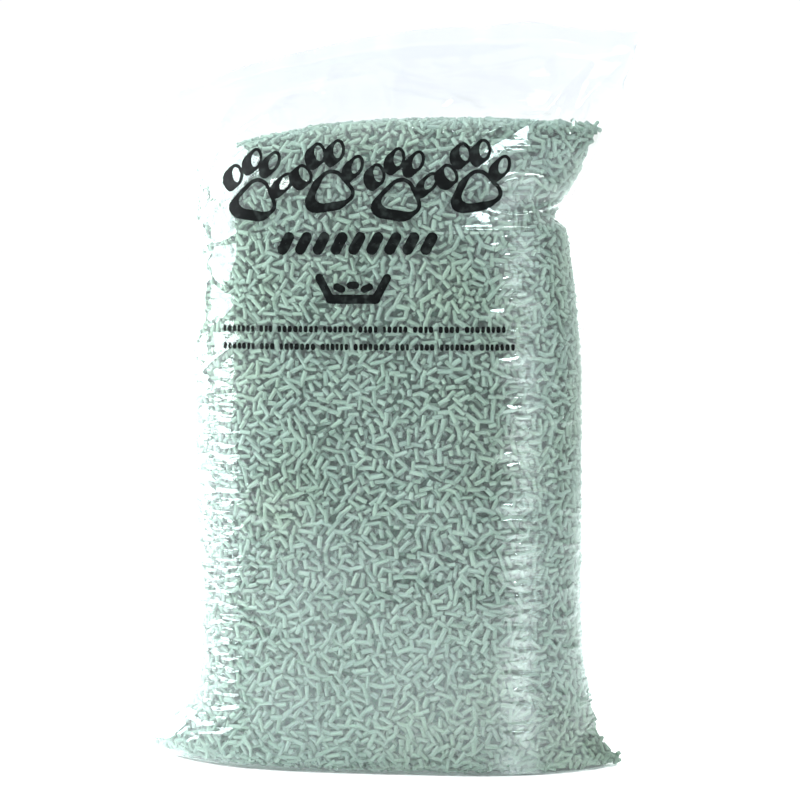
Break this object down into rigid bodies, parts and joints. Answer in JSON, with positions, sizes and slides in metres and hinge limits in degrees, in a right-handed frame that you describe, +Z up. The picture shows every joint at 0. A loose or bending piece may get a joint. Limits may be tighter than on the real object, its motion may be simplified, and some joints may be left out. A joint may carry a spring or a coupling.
{
  "type": "cat litter bag",
  "caption": "Clear pillow-type film sack, welded flat across the bottom and the top, filled with pale green paper pellets and standing on its base.",
  "frame": {"origin": "on the floor, under the middle of the bounding box, on the flat base of the sack", "axes": "+Z up along the height of the standing sack, the printed front faces -Y, +X to the right of someone who looks at the front"},
  "size_m": [0.5586, 0.222, 0.822],
  "materials": {
    "clear_film": "clear glossy polyethylene film with fine creases and broken highlights, one-colour black print on the upper front",
    "paper_pellets": "matt pale sage green pressed paper pellets"
  },
  "bodies": {
    "root": {"film_sack": "clear_film", "litter_fill": "paper_pellets"}
  },
  "joints": []
}
